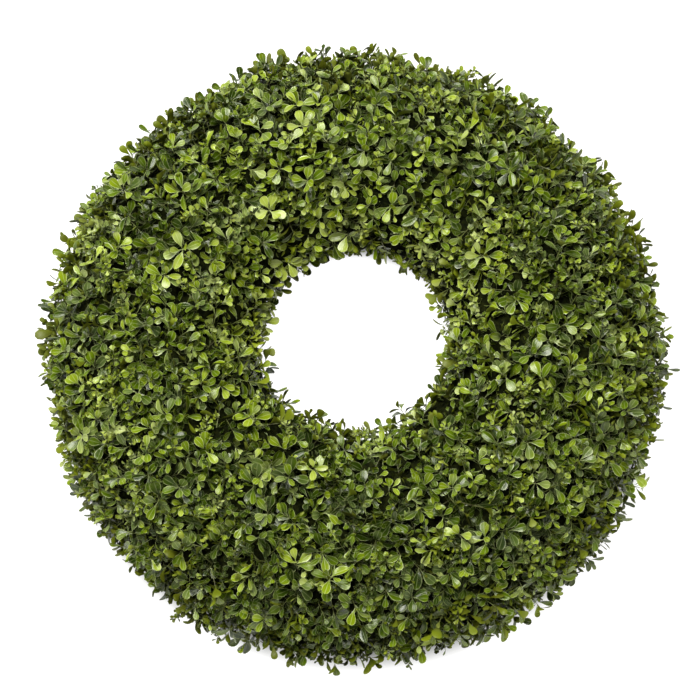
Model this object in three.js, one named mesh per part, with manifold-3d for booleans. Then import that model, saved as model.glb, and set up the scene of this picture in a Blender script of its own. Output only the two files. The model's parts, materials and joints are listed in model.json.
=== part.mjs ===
// A round boxwood wreath lying on its back: a ring of wound vine with a flat back, and bunches of boxwood
// sprigs that stand out of it all round, over the outer side, the front and the inner side.
// Millimetres, +Z up. The back lies in the plane Z = 0 and +Y is the wreath's top when it hangs.

import * as THREE from "three";
import { mergeVertices } from "three/addons/utils/BufferGeometryUtils.js";
import Module from "manifold-3d";

const wasm = await Module();
wasm.setup();

// Driving dimensions
const OUTER_RADIUS = 294; // from the centre to the mean outline of the leaves
const HOLE_RADIUS = 80; // of the mean outline of the hole
const HOLE_RISE = 7; // the foliage is fuller at the foot, so the hole sits higher than the outline
const DEPTH = 143; // from the back to the mean outline of the front
const WIDEST_HEIGHT = 50; // height above the back at which the foliage is widest
const LEAF_LENGTH = 40;
const LEAF_WIDTH = 25;
const LEAF_KEEL = 2.6; // thickness of a leaf along its midrib
const LEAF_LIFT = 23; // degrees from the surface that it grows on
const ROSETTE_LEAVES = 3;
const ROSETTE_TRIES = 40; // spots tried in a bunch until its leaves have found room
const LEAF_STAND = 13; // how far a bunch's twiggy middle lies below the mean outline at the bunch's ends
const SWELL = 5; // how much fuller the middle is halfway along the bunch
const ROOT_RADIUS = 2.4; // the leaves of a rosette start on a small circle
const ROOT_DEPTH = 4.5; // below the surface of the bunch's middle

// Vine ring
const RING_RADIUS = 187; // of the ring's centre line
const RING_FACETS = 40;
const RING_HALF_WIDTH = 32;
const RING_THICKNESS = 36;

// Fit between pieces
const SEAT_GAP = 0.55; // between the vine ring and the bunches that sit on it
const PIECE_GAP = 0.9; // between two neighbouring bunches
const LEAF_CLEARANCE = 0.35; // between any two leaves
const FLOOR_CLEARANCE = 1.5; // lowest a leaf may reach above the back plane
const OVERREACH = 9; // how far a leaf tip may stand past the mean outline, into the hole too

const FULL_TURN = 2 * Math.PI;
const FACET = FULL_TURN / RING_FACETS;
const rad = THREE.MathUtils.degToRad;

const COLOURS = {
  vine: new THREE.MeshStandardMaterial({ color: 0x6b5f4c, roughness: 0.85, metalness: 0 }),
  deep_leaf: new THREE.MeshStandardMaterial({ color: 0x3c5524, roughness: 0.45, metalness: 0 }),
  mid_leaf: new THREE.MeshStandardMaterial({ color: 0x56702a, roughness: 0.45, metalness: 0 }),
  fresh_leaf: new THREE.MeshStandardMaterial({ color: 0x7f9a38, roughness: 0.45, metalness: 0 }),
};

// Belts of bunches across the ring's section. Angles are about the middle of the foliage's section:
// 0 points away from the wreath's centre, 90 to the front and 180 into the hole.
const OUTER_EDGE = 52;
const INNER_EDGE = 128;
const EDGE_MARGIN = 5; // between a belt's edge and its outermost rosettes
const BELTS = [
  {
    name: "outer_bunch",
    facets: 2,
    shell: [-45, -20, 4, 28, OUTER_EDGE],
    seat: ["outer_shoulder", "outer_side", "outer_foot"],
    leaves: 14,
    leafScale: 1,
  },
  {
    name: "front_bunch",
    facets: 2,
    shell: [OUTER_EDGE, 77, 103, INNER_EDGE],
    seat: ["inner_shoulder", "crown", "outer_shoulder"],
    leaves: 11,
    leafScale: 0.95,
  },
  {
    name: "inner_bunch",
    facets: 4,
    shell: [INNER_EDGE, 152, 176, 200, 225],
    seat: ["inner_foot", "inner_side", "inner_shoulder"],
    leaves: 12,
    leafScale: 0.8,
  },
];

// The ring's section, as [distance from the centre line, height]
const RING_SECTION = {
  outer_base: [RING_HALF_WIDTH - 6, 0],
  outer_foot: [RING_HALF_WIDTH, 8],
  outer_side: [RING_HALF_WIDTH - 2, 20],
  outer_shoulder: [RING_HALF_WIDTH * 0.56, RING_THICKNESS - 4],
  crown: [0, RING_THICKNESS],
  inner_shoulder: [-RING_HALF_WIDTH * 0.56, RING_THICKNESS - 4],
  inner_side: [-RING_HALF_WIDTH + 2, 20],
  inner_foot: [-RING_HALF_WIDTH, 8],
  inner_base: [-RING_HALF_WIDTH + 6, 0],
};

// A repeatable random number source
function seeded(seed) {
  let state = seed;
  return () => {
    state = (state + 0x6d2b79f5) | 0;
    let t = Math.imul(state ^ (state >>> 15), 1 | state);
    t = (t + Math.imul(t ^ (t >>> 7), 61 | t)) ^ t;
    return ((t ^ (t >>> 14)) >>> 0) / 4294967296;
  };
}
const random = seeded(24);
const spread = (amount) => (2 * random() - 1) * amount;

// A point at turn u round the wreath, in the half plane through its axis
function around(u, radius, height) {
  return new THREE.Vector3(radius * Math.cos(u), radius * Math.sin(u), height);
}

// How far the foliage's outline lies from the middle of its section: sideways and up or down
function outlineReach(u, onHoleSide) {
  const holeRadius = HOLE_RADIUS + HOLE_RISE * Math.sin(u);
  return onHoleSide ? RING_RADIUS - holeRadius : OUTER_RADIUS - RING_RADIUS;
}
const outlineRise = (isAbove) => (isAbove ? DEPTH - WIDEST_HEIGHT : WIDEST_HEIGHT);

// A point of the foliage's outline, or inset below it, at turn u and section angle v
function shellPoint(u, v, inset) {
  const reach = outlineReach(u, Math.cos(v) < 0) - inset;
  const rise = outlineRise(Math.sin(v) > 0) - inset;
  return around(u, RING_RADIUS + reach * Math.cos(v), WIDEST_HEIGHT + rise * Math.sin(v));
}

// True where a point stands past the foliage's outline by more than a leaf tip may
function isPastOutline(x, y, z) {
  const sideways = Math.hypot(x, y) - RING_RADIUS;
  const up = z - WIDEST_HEIGHT;
  const reach = outlineReach(Math.atan2(y, x), sideways < 0) + OVERREACH;
  const rise = outlineRise(up > 0) + OVERREACH;
  return Math.hypot(sideways / reach, up / rise) > 1;
}

// The outline's outward direction at turn u and section angle v
function shellNormal(u, v) {
  const step = 0.01;
  const alongRing = shellPoint(u + step, v, 0).sub(shellPoint(u - step, v, 0));
  const overSection = shellPoint(u, v + step, 0).sub(shellPoint(u, v - step, 0));
  return alongRing.cross(overSection).normalize();
}

// A closed geometry lofted through equal closed sections, with flat ends or joined into a loop
function loft(sections, closed) {
  const count = sections[0].length;
  const corners = sections.flat();
  const faces = [];
  const spans = closed ? sections.length : sections.length - 1;
  for (let i = 0; i < spans; i++) {
    const here = i * count;
    const next = ((i + 1) % sections.length) * count;
    for (let j = 0; j < count; j++) {
      const k = (j + 1) % count;
      faces.push([here + j, next + j, next + k], [here + j, next + k, here + k]);
    }
  }
  if (!closed) {
    const flat = sections[0].map((p) => new THREE.Vector2(Math.hypot(p.x, p.y), p.z));
    const last = (sections.length - 1) * count;
    for (const [a, b, c] of THREE.ShapeUtils.triangulateShape(flat, [])) {
      faces.push([a, b, c], [last + a, last + c, last + b]);
    }
  }
  return geometryOf(corners, faces);
}

function geometryOf(corners, faces) {
  const geometry = new THREE.BufferGeometry().setFromPoints(corners);
  geometry.setIndex(faces.flat());
  return geometry;
}

// The geometry as a solid that can be joined to others, facing outwards
function solidOf(geometry) {
  const bare = geometry.index ? geometry.clone() : mergeVertices(geometry);
  bare.deleteAttribute("normal");
  bare.deleteAttribute("uv");
  const vertProperties = new Float32Array(bare.attributes.position.array);
  const triVerts = new Uint32Array(bare.index.array);
  const solid = new wasm.Manifold(new wasm.Mesh({ numProp: 3, vertProperties, triVerts }));
  if (solid.volume() > 0) return solid;
  for (let i = 0; i < triVerts.length; i += 3) {
    [triVerts[i + 1], triVerts[i + 2]] = [triVerts[i + 2], triVerts[i + 1]];
  }
  return new wasm.Manifold(new wasm.Mesh({ numProp: 3, vertProperties, triVerts }));
}

// A named mesh of a solid
function meshOf(name, solid, material) {
  const { numProp, vertProperties, triVerts } = solid.getMesh();
  const corners = [];
  for (let i = 0; i < vertProperties.length; i += numProp) {
    corners.push(new THREE.Vector3(...vertProperties.subarray(i, i + 3)));
  }
  const geometry = new THREE.BufferGeometry().setFromPoints(corners);
  geometry.setIndex([...triVerts]);
  geometry.computeVertexNormals();
  const mesh = new THREE.Mesh(geometry, material);
  mesh.name = name;
  return mesh;
}

// The wound vine ring, with its flat back on the plane Z = 0
function vineRing() {
  const sections = [];
  for (let i = 0; i < RING_FACETS; i++) {
    const u = i * FACET;
    sections.push(Object.values(RING_SECTION).map(([out, z]) => around(u, RING_RADIUS + out, z)));
  }
  return solidOf(loft(sections, true));
}

// A corner of the ring's section, moved out by the seat gap
function seatPoint(u, corner) {
  const [out, z] = RING_SECTION[corner];
  const middle = RING_THICKNESS / 2;
  const away = new THREE.Vector2(out, z - middle);
  away.setLength(away.length() + SEAT_GAP);
  return around(u, RING_RADIUS + away.x, middle + away.y);
}

// The twiggy middle of a bunch: a block that fits over the vine ring and swells between its ends.
// Its shells are the rows of points along its outer face, one for each facet edge.
function bunchMiddle(belt, firstFacet) {
  const sections = [];
  const shells = [];
  for (let i = 0; i <= belt.facets; i++) {
    const u = (firstFacet + i) * FACET;
    const along = i / belt.facets;
    const inset = LEAF_STAND - SWELL * Math.sin(Math.PI * along);
    const shell = belt.shell.map((v) => shellPoint(u, rad(v), inset + spread(1.5)));
    const seat = belt.seat.map((corner) => seatPoint(u, corner));
    squareUp(shell, seat, belt, u, inset);
    const tangent = new THREE.Vector3(-Math.sin(u), Math.cos(u), 0);
    const inwards = (along === 0 ? 1 : 0) - (along === 1 ? 1 : 0);
    for (const p of [...shell, ...seat]) p.addScaledVector(tangent, (inwards * PIECE_GAP) / 2);
    sections.push([...shell, ...seat]);
    shells.push(shell);
  }
  return { solid: solidOf(loft(sections, false)), shells };
}

// A point on the outer face of a bunch's middle, at a share along the ring and a section angle
function facePoint(belt, shells, along, angle) {
  const i = Math.min(Math.floor(along * belt.facets), belt.facets - 1);
  const past = belt.shell.findIndex((edge) => edge >= angle);
  const j = Math.max(past, 1) - 1;
  const share = (angle - belt.shell[j]) / (belt.shell[j + 1] - belt.shell[j]);
  const [here, next] = [shells[i], shells[i + 1]].map((row) => row[j].clone().lerp(row[j + 1], share));
  return here.lerp(next, along * belt.facets - i);
}

// Sets each edge that a belt shares with the next one on the straight line from the seat to the outline,
// and moves it back by half the gap between the two
function squareUp(shell, seat, belt, u, inset) {
  const last = shell.length - 1;
  const edges = [
    [shell[0], seat[seat.length - 1], belt.shell[0], shell[1]],
    [shell[last], seat[0], belt.shell[last], shell[last - 1]],
  ];
  for (const [top, foot, angle, inside] of edges) {
    if (angle !== OUTER_EDGE && angle !== INNER_EDGE) continue;
    const outline = shellPoint(u, rad(angle), 0);
    const edge = outline.clone().sub(foot).normalize();
    top.copy(outline).addScaledVector(edge, -inset);
    const across = inside.clone().sub(top);
    across.addScaledVector(edge, -across.dot(edge)).setLength(PIECE_GAP / 2);
    top.add(across);
    foot.add(across);
  }
}

// A boxwood leaf along +X from its root, face up: spoon-shaped, with a keel under a raised midrib
function leafGeometry(length, width) {
  const halfOutline = [
    [0.6, 0.5],
    [0.96, 0.3],
  ];
  const droop = -0.06 * length;
  const edge = (x, y) => new THREE.Vector3(x * length, y * width, droop * x * x);
  const outline = [
    edge(0, 0),
    ...halfOutline.map(([x, y]) => edge(x, -y)),
    ...[...halfOutline].reverse().map(([x, y]) => edge(x, y)),
  ];
  const middle = edge(0.66, 0);
  const rib = middle.clone().add(new THREE.Vector3(0, 0, LEAF_KEEL / 2));
  const keel = middle.clone().sub(new THREE.Vector3(0, 0, LEAF_KEEL / 2));
  const faces = [];
  const count = outline.length;
  for (let i = 0; i < count; i++) {
    const next = (i + 1) % count;
    faces.push([i, next, count], [next, i, count + 1]);
  }
  return geometryOf([...outline, rib, keel], faces);
}

// A leaf on a rosette, turned to azimuth about its axis and raised from the surface by lift
function leafSolid(rosette, azimuth, lift, length, width) {
  const { centre, axis, first, second } = rosette;
  const out = first.clone().multiplyScalar(Math.cos(azimuth));
  out.addScaledVector(second, Math.sin(azimuth));
  const along = out.clone().multiplyScalar(Math.cos(lift)).addScaledVector(axis, Math.sin(lift));
  const across = axis.clone().cross(out).normalize();
  const face = along.clone().cross(across);
  const root = centre.clone().addScaledVector(out, ROOT_RADIUS).addScaledVector(axis, -ROOT_DEPTH);
  const place = new THREE.Matrix4().makeBasis(along, across, face).setPosition(root);
  return solidOf(leafGeometry(length, width).applyMatrix4(place));
}

// The directions of a rosette that sits at a point of a bunch's middle, at turn u and section angle v
function rosetteAt(centre, u, v) {
  const axis = shellNormal(u, v);
  axis.add(new THREE.Vector3(spread(0.18), spread(0.18), spread(0.1))).normalize();
  const first = new THREE.Vector3(-Math.sin(u), Math.cos(u), 0);
  first.addScaledVector(axis, -first.dot(axis)).normalize();
  const second = axis.clone().cross(first);
  return { centre, axis, first, second };
}

// True where a leaf stays above the back plane, within the outline, and clear of all that is placed
function leafFits(leaf, neighbours) {
  const box = leaf.boundingBox();
  if (box.min[2] < FLOOR_CLEARANCE) return false;
  const { numProp, vertProperties } = leaf.getMesh();
  for (let i = 0; i < vertProperties.length; i += numProp) {
    if (isPastOutline(...vertProperties.subarray(i, i + 3))) return false;
  }
  return neighbours.every(
    (other) => !boxesMeet(box, other.box) || leaf.minGap(other.solid, LEAF_CLEARANCE) >= LEAF_CLEARANCE,
  );
}

function boxesMeet(a, b) {
  return [0, 1, 2].every(
    (i) => a.min[i] - LEAF_CLEARANCE < b.max[i] && b.min[i] - LEAF_CLEARANCE < a.max[i],
  );
}

// Bends tried in turn until a leaf is clear: a turn about the rosette's axis and an extra lift
const BENDS = [
  [0, 0],
  [14, -3],
  [-14, -3],
  [0, 8],
  [16, 8],
  [-16, 8],
  [0, 16],
  [24, 14],
  [-24, 14],
];

// The leaves of one rosette that find room, added to what is placed
function growRosette(rosette, count, scale, placed, otherMiddles) {
  const leaves = [];
  const start = random() * FULL_TURN;
  for (let i = 0; i < count; i++) {
    const azimuth = start + (i * FULL_TURN) / count + spread(0.15);
    const lift = rad(LEAF_LIFT + spread(7));
    const length = LEAF_LENGTH * scale * (1 + spread(0.12));
    const width = LEAF_WIDTH * scale * (1 + spread(0.1));
    for (const [turn, raise] of BENDS) {
      const leaf = leafSolid(rosette, azimuth + rad(turn), lift + rad(raise), length, width);
      if (!leafFits(leaf, [...placed, ...otherMiddles])) continue;
      placed.push({ solid: leaf, box: leaf.boundingBox() });
      leaves.push(leaf);
      break;
    }
  }
  return leaves;
}

// The nth of many spots spread evenly over a square, each given as two shares of its sides
function evenSpot(n) {
  return [(0.5 + n * 0.7548777) % 1, (0.5 + n * 0.5698403) % 1];
}

// The leaves of one bunch, in rosettes spread over the outer face of its middle
function growLeaves({ belt, index, shells }, placed, otherMiddles) {
  const leaves = [];
  const firstAngle = belt.shell[0] + EDGE_MARGIN;
  const lastAngle = belt.shell[belt.shell.length - 1] - EDGE_MARGIN;
  for (let n = 0; n < ROSETTE_TRIES && leaves.length < belt.leaves; n++) {
    const [shareAlong, shareOver] = evenSpot(n + index);
    const along = THREE.MathUtils.lerp(0.08, 0.92, shareAlong);
    const angle = THREE.MathUtils.lerp(firstAngle, lastAngle, shareOver);
    const u = (index + along) * belt.facets * FACET;
    const rosette = rosetteAt(facePoint(belt, shells, along, angle), u, rad(angle));
    const count = Math.min(ROSETTE_LEAVES, belt.leaves - leaves.length);
    leaves.push(...growRosette(rosette, count, belt.leafScale, placed, otherMiddles));
  }
  return leaves;
}

// All bunches of all belts, each one solid of a middle with its leaves
function bunches() {
  const blocks = [];
  for (const belt of BELTS) {
    const count = RING_FACETS / belt.facets;
    for (let index = 0; index < count; index++) {
      const { solid, shells } = bunchMiddle(belt, index * belt.facets);
      blocks.push({ belt, index, solid, shells, box: solid.boundingBox() });
    }
  }
  const placed = [];
  return blocks.map((block) => {
    const otherMiddles = blocks.filter((other) => other !== block);
    const leaves = growLeaves(block, placed, otherMiddles);
    const name = `${block.belt.name}_${String(block.index + 1).padStart(2, "0")}`;
    return { name, solid: wasm.Manifold.union([block.solid, ...leaves]) };
  });
}

const wreath = new THREE.Group();
wreath.add(meshOf("vine_ring", vineRing(), COLOURS.vine));
const tones = ["mid_leaf", "deep_leaf", "fresh_leaf"];
bunches().forEach(({ name, solid }, i) => {
  wreath.add(meshOf(name, solid, COLOURS[tones[i % tones.length]]));
});

// The origin lies under the middle of the whole wreath
const extent = new THREE.Box3().setFromObject(wreath);
const middleOfAll = extent.getCenter(new THREE.Vector3());
wreath.position.set(-middleOfAll.x, -middleOfAll.y, 0);

export default wreath;
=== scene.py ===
"""Boxwood wreath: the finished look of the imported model.

A ring of twisted vine canes carries fifty bunches of clipped boxwood. Each bunch is planted with
sprigs, and each sprig is grown from leaves that are modelled once and copied. Sizes are in metres
and angles in degrees. Two angles place a point of the foliage: "around" runs anticlockwise about
the ring from +X, and "section" runs about the ring's own section, 0 away from the wreath's centre,
90 to the front and 180 into the hole.
"""

import itertools
import json
import logging
import math
from collections.abc import Callable, Iterable
from dataclasses import dataclass, replace
from enum import Enum

import bmesh
import bpy
import numpy as np
from mathutils import Matrix, Vector, noise


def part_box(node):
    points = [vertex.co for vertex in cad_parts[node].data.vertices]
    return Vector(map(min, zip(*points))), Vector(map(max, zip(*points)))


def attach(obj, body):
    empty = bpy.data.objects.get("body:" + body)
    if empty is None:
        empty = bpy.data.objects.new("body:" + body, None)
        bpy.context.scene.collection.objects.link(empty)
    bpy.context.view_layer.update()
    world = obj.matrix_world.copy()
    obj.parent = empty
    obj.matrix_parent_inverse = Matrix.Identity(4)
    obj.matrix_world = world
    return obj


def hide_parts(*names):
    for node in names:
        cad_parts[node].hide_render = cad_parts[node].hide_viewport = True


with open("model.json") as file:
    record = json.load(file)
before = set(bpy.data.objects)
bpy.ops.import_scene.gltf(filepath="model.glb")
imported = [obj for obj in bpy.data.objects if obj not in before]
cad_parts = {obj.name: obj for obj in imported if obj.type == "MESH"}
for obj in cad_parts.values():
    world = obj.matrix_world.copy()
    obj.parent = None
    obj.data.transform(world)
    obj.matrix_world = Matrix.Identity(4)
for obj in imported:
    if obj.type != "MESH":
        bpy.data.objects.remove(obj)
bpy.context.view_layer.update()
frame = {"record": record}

log = logging.getLogger("wreath")

Colour = tuple[float, float, float]
Span = tuple[float, float]
Ramp = tuple[Span, Span]
Outline = tuple[Span, ...]
Piece = bpy.types.Object
Mesh = bpy.types.Mesh
Material = bpy.types.Material
Owner = bpy.types.Material | bpy.types.World
Socket = bpy.types.NodeSocket
Random = np.random.Generator

SEED = 24
TARGET = Vector((0.0, 0.0, 0.050))


class Growth(Enum):
    """The kinds of sprig in the wreath."""

    BROAD = "broad"
    SLENDER = "slender"
    TINY = "tiny"
    OLD = "old"


class Belt(Enum):
    """The belts of bunches round the ring, with the count of bunches in each."""

    OUTER = ("outer_bunch", 20)
    FRONT = ("front_bunch", 20)
    INNER = ("inner_bunch", 10)

    @property
    def count(self) -> int:
        """How many bunches the belt has."""
        return self.value[1]

    def node(self, number: int) -> str:
        """The name of the CAD node of the belt's bunch with that number."""
        return f"{self.value[0]}_{number:02d}"


def deselect_all() -> None:
    """Leaves nothing selected and nothing active."""
    bpy.ops.object.select_all(action="DESELECT")
    bpy.context.view_layer.objects.active = None


def activate(piece: Piece) -> None:
    """Selects one piece alone and makes it active."""
    deselect_all()
    piece.select_set(True)
    bpy.context.view_layer.objects.active = piece


def select_vertices(piece: Piece, chosen: Callable[[bmesh.types.BMVert], bool]) -> None:
    """Selects vertices of the piece that is in edit mode.

    Args:
        piece: The mesh object being edited.
        chosen: Says of a vertex whether it is selected.
    """
    shape = bmesh.from_edit_mesh(piece.data)
    for vertex in shape.verts:
        vertex.select_set(chosen(vertex))
    shape.select_flush(True)
    bmesh.update_edit_mesh(piece.data)


def copy_of(master: Piece, place: Matrix) -> Piece:
    """Copies a piece, with a mesh of its own.

    Args:
        master: The piece to copy.
        place: Where the copy goes.

    Returns:
        The copy, linked into the scene.
    """
    piece = master.copy()
    piece.data = master.data.copy()
    bpy.context.scene.collection.objects.link(piece)
    piece.matrix_world = place
    return piece


def join(base: Piece, others: Iterable[Piece]) -> Piece:
    """Joins pieces into a base that stands at the origin.

    Args:
        base: The piece that is kept.
        others: The pieces that go into it.

    Returns:
        The base, with all their faces.
    """
    activate(base)
    for piece in others:
        piece.select_set(True)
    bpy.ops.object.join()
    return base


def paint_faces(mesh: Mesh, name: str, values: float | np.ndarray) -> None:
    """Writes one number for each face, which the materials read by its name.

    Args:
        mesh: The mesh.
        name: The attribute's name.
        values: One value for all faces, or an array with one for each.
    """
    layer = mesh.attributes.get(name) or mesh.attributes.new(name, "FLOAT", "FACE")
    layer.data.foreach_set("value", np.full(len(mesh.polygons), values, dtype=np.float32))


def face_values(mesh: Mesh, name: str) -> np.ndarray:
    """Reads the numbers that paint_faces wrote."""
    values = np.empty(len(mesh.polygons), dtype=np.float32)
    mesh.attributes[name].data.foreach_get("value", values)
    return values


def vertex_places(mesh: Mesh) -> np.ndarray:
    """The places of a mesh's vertices, one row for each."""
    flat = np.empty(len(mesh.vertices) * 3)
    mesh.vertices.foreach_get("co", flat)
    return flat.reshape(-1, 3)


def move_vertices(mesh: Mesh, places: np.ndarray) -> None:
    """Puts the vertices of a mesh at other places."""
    mesh.vertices.foreach_set("co", places.ravel())
    mesh.update()


class ShaderSheet:
    """Lays out the nodes of one material or of the world."""

    def __init__(self, owner: Owner) -> None:
        """Empties its owner's sheet."""
        self.owner = owner
        owner.use_nodes = True
        self.tree = owner.node_tree
        self.tree.nodes.clear()

    def add(self, kind: str, inputs: dict | None = None, **settings: object) -> bpy.types.Node:
        """Adds a node.

        Args:
            kind: The node's type, without "ShaderNode".
            inputs: Input name or number to a value or to another node's output.
            settings: The node's own properties.

        Returns:
            The node.
        """
        node = self.tree.nodes.new("ShaderNode" + kind)
        for name, value in settings.items():
            setattr(node, name, value)
        for name, value in (inputs or {}).items():
            socket = node.inputs[name]
            if isinstance(value, Socket):
                self.tree.links.new(value, socket)
            else:
                socket.default_value = (*value, 1.0) if socket.type == "RGBA" else value
        return node

    def maths(self, operation: str, first: object, second: object = 0.0) -> Socket:
        """The result of one sum on two values."""
        return self.add("Math", {0: first, 1: second}, operation=operation).outputs[0]

    def ramp(self, value: Socket, start: Span, end: Span) -> Socket:
        """Turns a value that runs from start[0] to end[0] into start[1] to end[1], held outside."""
        node = self.add("MapRange", {"Value": value, "From Min": start[0], "From Max": end[0],
                                     "To Min": start[1], "To Max": end[1]})
        return node.outputs["Result"]

    def colours(self, value: Socket, stops: dict[float, Colour]) -> Socket:
        """The colour at a value.

        Args:
            value: Where on the band to look.
            stops: The band's colours by their places, the two outermost first.

        Returns:
            The colour there.
        """
        node = self.add("ValToRGB", {"Fac": value})
        band = node.color_ramp
        for number, (place, colour) in enumerate(stops.items()):
            stop = band.elements[number] if number < 2 else band.elements.new(place)
            stop.position = place
            stop.color = (*colour, 1.0)
        return node.outputs["Color"]

    def mix(self, share: Socket | float, first: Socket, second: Socket | Colour) -> Socket:
        """Two colours mixed; a share of 0 gives the first."""
        return self.add("Mix", {"Factor": share, 6: first, 7: second}, data_type="RGBA").outputs[2]

    def noise(self, place: Socket, scale: float, detail: float = 2.0) -> Socket:
        """Soft noise from 0 to 1 with that many waves a metre."""
        return self.add("TexNoise", {"Vector": place, "Scale": scale, "Detail": detail}).outputs["Fac"]

    def object_place(self) -> Socket:
        """The place on the piece, in metres."""
        return self.add("TexCoord").outputs["Object"]

    def finish(self, shader: bpy.types.Node, output: str = "OutputMaterial") -> Owner:
        """Puts the shader out and returns the sheet's owner."""
        self.add(output, {"Surface": shader.outputs[0]})
        return self.owner

    def coat(self, colour: Socket, roughness: Socket | float, height: Socket, strength: float,
             depth: float, shine: float = 0.5) -> Material:
        """Finishes a material with one coat over a relief.

        Args:
            colour: The coat's colour.
            roughness: Its roughness.
            height: The height of the relief.
            strength: How strongly the relief shows.
            depth: How deep the relief is where its height changes by one.
            shine: How strongly the coat reflects.

        Returns:
            The material.
        """
        bump = self.add("Bump", {"Height": height, "Strength": strength, "Distance": depth})
        return self.finish(self.add("BsdfPrincipled", {
            "Base Color": colour, "Roughness": roughness, "Normal": bump.outputs[0],
            "Specular IOR Level": shine}))


@dataclass(frozen=True)
class LeafFinish:
    """Satin boxwood leaf, from old blue-green to young yellow-green, pale at its rim and midrib.

    Waves are counts in a metre. A ramp runs over the leaf's length from 0 to 1, over its width from
    0 at the midrib to 0.5 at the rim, over noise, or for the clearness of its lines over its tone.
    The ramp along the leaf paints shade towards its stalk and light towards its tip, the rim line is
    partly painted highlight, and the greyer patches are partly painted sheen.
    """

    deep: Colour = (0.012, 0.024, 0.0006)
    middle: Colour = (0.058, 0.095, 0.0012)
    bright: Colour = (0.148, 0.200, 0.0050)
    young: Colour = (0.236, 0.288, 0.0440)
    pale: Colour = (0.390, 0.432, 0.200)
    underside: Colour = (0.112, 0.120, 0.005)
    underside_share: float = 0.5
    blotch_waves: float = 70.0
    blotch_share: float = 0.35
    # Painted shade towards each leaf's stalk and painted light towards its tip.
    stalk_shade_tip_light: Ramp = ((0.2, -0.14), (0.9, 0.07))
    # Greyer patches: partly waxy grey-green leaves, partly painted sheen.
    bloom_and_sheen_waves: float = 42.0
    bloom_and_sheen: Ramp = ((0.53, 1.0), (0.62, 0.78))
    # Pale lines: midrib and stalk are pale on the leaf; the rim line is partly its pale rim, partly
    # painted highlight on the raised edge, clearer on brighter leaves.
    rib: Ramp = ((0.015, 0.36), (0.06, 0.0))
    rim: Ramp = ((0.405, 0.0), (0.48, 0.72))
    tip: Ramp = ((0.960, 0.0), (0.990, 0.62))
    stalk: Ramp = ((0.10, 0.7), (0.34, 0.0))
    clearness: Ramp = ((0.10, 0.42), (0.60, 1.0))
    veins: Span = (60.0, -40.0)
    vein_height: float = 0.03
    groove: Ramp = ((0.0, -0.14), (0.07, 0.0))
    curl: Ramp = ((0.20, 0.0), (0.50, 1.0))
    curl_height: float = 0.12
    grain_waves: float = 900.0
    grain_height: float = 0.03
    relief: float = 0.75
    relief_depth: float = 0.001
    gloss_waves: float = 160.0
    gloss: Ramp = ((0.3, 0.17), (0.7, 0.30))
    back_roughness: float = 0.50
    shine: float = 0.28

    def material(self) -> Material:
        """Builds the leaf's material."""
        sheet = ShaderSheet(bpy.data.materials.new("boxwood leaf"))
        place = sheet.object_place()
        tone = sheet.add("Attribute", attribute_name="tone").outputs["Fac"]
        under = sheet.add("Attribute", attribute_name="underside").outputs["Fac"]
        leaf = sheet.add("SeparateXYZ", {0: sheet.add("UVMap", uv_map="UVMap").outputs["UV"]})
        along = leaf.outputs["X"]
        from_rib = sheet.maths("ABSOLUTE", sheet.maths("SUBTRACT", leaf.outputs["Y"], 0.5))

        blotch = sheet.maths("SUBTRACT", sheet.noise(place, self.blotch_waves), 0.5)
        shade = sheet.maths("ADD", tone, sheet.maths("MULTIPLY", blotch, self.blotch_share))
        # The tone along the leaf carries painted shade at the stalk and painted light at the tip.
        fresh = sheet.colours(sheet.maths("ADD", shade, sheet.ramp(along, *self.stalk_shade_tip_light)),
                              {0.05: self.deep, 0.95: self.young, 0.35: self.middle, 0.68: self.bright})
        # Greyer, desaturated patches: partly the leaves' own grey-green, partly painted sheen.
        bloom_and_sheen = sheet.ramp(sheet.noise(place, self.bloom_and_sheen_waves, 1.0), *self.bloom_and_sheen)
        blade = sheet.add("HueSaturation", {"Saturation": bloom_and_sheen, "Color": fresh}).outputs["Color"]
        # Pale midrib and rim; the rim line is partly painted highlight on the raised edge.
        pale_rib_and_rim_highlight = sheet.maths("MAXIMUM", sheet.ramp(from_rib, *self.rib), sheet.ramp(from_rib, *self.rim))
        ends = sheet.maths("MAXIMUM", sheet.ramp(along, *self.tip), sheet.ramp(along, *self.stalk))
        lines = sheet.maths("MULTIPLY", sheet.maths("MAXIMUM", pale_rib_and_rim_highlight, ends),
                            sheet.ramp(shade, *self.clearness))
        top = sheet.mix(lines, blade, self.pale)
        back = sheet.mix(self.underside_share, blade, self.underside)
        colour = sheet.mix(under, top, back)

        vein_angle = sheet.maths("ADD", sheet.maths("MULTIPLY", along, self.veins[0]),
                                 sheet.maths("MULTIPLY", from_rib, self.veins[1]))
        veins = sheet.maths("MULTIPLY", sheet.maths("SINE", vein_angle), self.vein_height)
        outward = sheet.ramp(from_rib, *self.curl)
        curl = sheet.maths("MULTIPLY", sheet.maths("MULTIPLY", outward, outward), self.curl_height)
        grain = sheet.maths("MULTIPLY", sheet.noise(place, self.grain_waves, 3.0), self.grain_height)
        relief = sheet.maths("ADD", sheet.maths("ADD", veins, sheet.ramp(from_rib, *self.groove)),
                             sheet.maths("ADD", curl, grain))
        satin = sheet.ramp(sheet.noise(place, self.gloss_waves), *self.gloss)
        roughness = sheet.maths("MAXIMUM", satin, sheet.maths("MULTIPLY", under, self.back_roughness))
        return sheet.coat(colour, roughness, relief, self.relief, self.relief_depth, self.shine)


@dataclass(frozen=True)
class StemFinish:
    """Thin twig, mottled in green and brown."""

    green: Colour = (0.110, 0.135, 0.030)
    brown: Colour = (0.040, 0.034, 0.012)
    patch_waves: float = 120.0
    grain_waves: float = 1400.0
    grain: float = 0.4
    grain_depth: float = 0.0002
    roughness: float = 0.6

    def material(self) -> Material:
        """Builds the stem's material."""
        sheet = ShaderSheet(bpy.data.materials.new("boxwood stem"))
        place = sheet.object_place()
        patches = sheet.noise(place, self.patch_waves, 3.0)
        colour = sheet.colours(patches, {0.35: self.brown, 0.62: self.green})
        grain = sheet.noise(place, self.grain_waves, 3.0)
        return sheet.coat(colour, self.roughness, grain, self.grain, self.grain_depth)


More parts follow.
